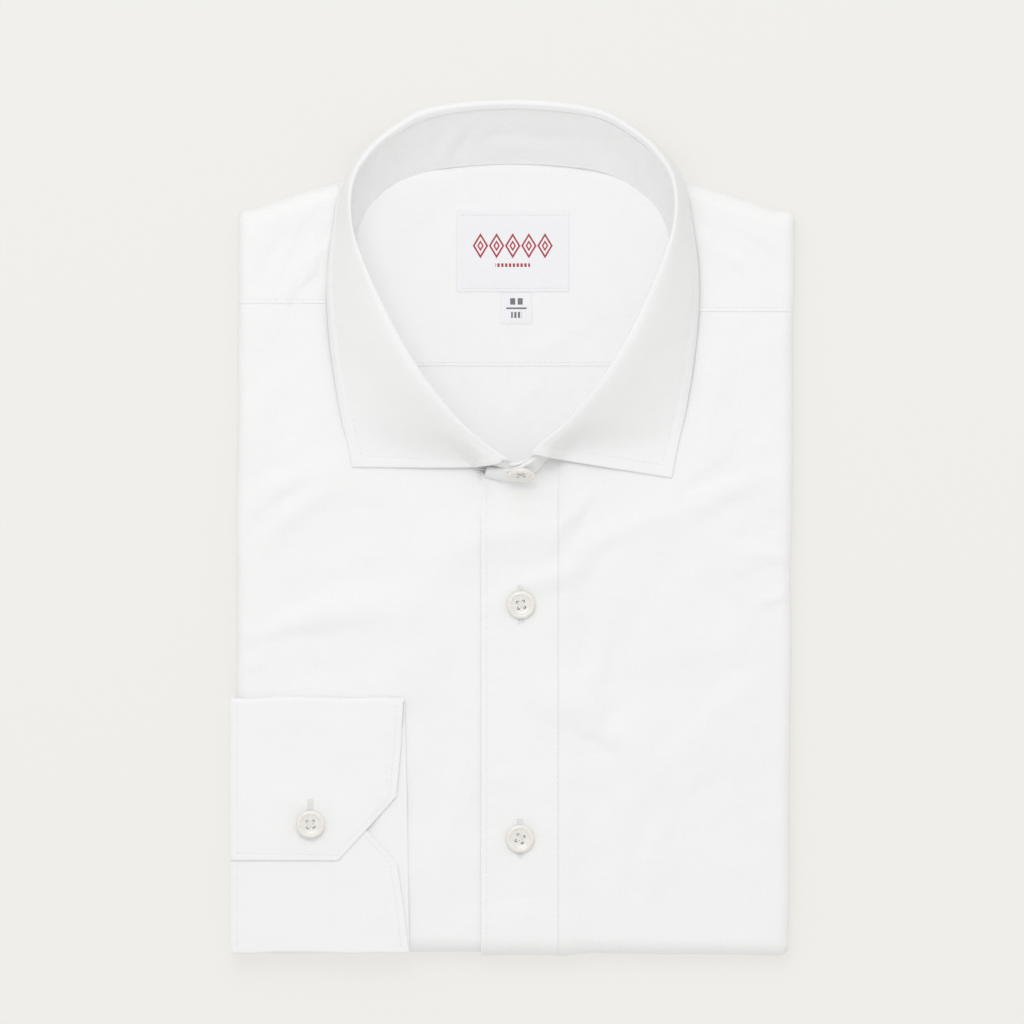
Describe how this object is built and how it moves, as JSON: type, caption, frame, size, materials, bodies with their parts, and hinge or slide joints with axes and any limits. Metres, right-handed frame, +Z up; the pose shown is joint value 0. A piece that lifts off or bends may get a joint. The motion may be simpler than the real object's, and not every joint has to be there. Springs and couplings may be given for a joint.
{
  "type": "folded dress shirt",
  "caption": "White cotton dress shirt folded flat for display, buttoned, with a raised spread collar and one mitred cuff laid on its lower front.",
  "frame": {"origin": "middle of the footprint, on the surface the shirt lies on", "axes": "+Y along the shirt from its bottom fold to its collar, +X to the right of a person looking down at its front, +Z up off the surface"},
  "size_m": [0.2344, 0.356, 0.0396],
  "materials": {
    "shirt_cloth": "soft white cotton in a fine plain weave, matt with a faint sheen",
    "collar_cloth": "the same white cotton over a crisp interlining, smooth and matt",
    "label_weave": "fine white woven label with plain woven ornaments",
    "button_pearl": "pearly ivory shell, polished, with soft colour in its sheen"
  },
  "bodies": {
    "root": {"folded_layers": "shirt_cloth", "front_right": "shirt_cloth", "front_left": "shirt_cloth", "placket": "shirt_cloth", "yoke_right": "shirt_cloth", "yoke_left": "shirt_cloth", "inner_yoke": "shirt_cloth", "back_inside": "shirt_cloth", "collar_stand": "collar_cloth", "collar_fall": "collar_cloth", "cuff": "shirt_cloth", "sleeve_wrap": "shirt_cloth", "brand_label": "label_weave", "size_tab": "label_weave", "button_collar": "button_pearl", "button_chest": "button_pearl", "button_belly": "button_pearl", "button_cuff": "button_pearl"}
  },
  "joints": []
}
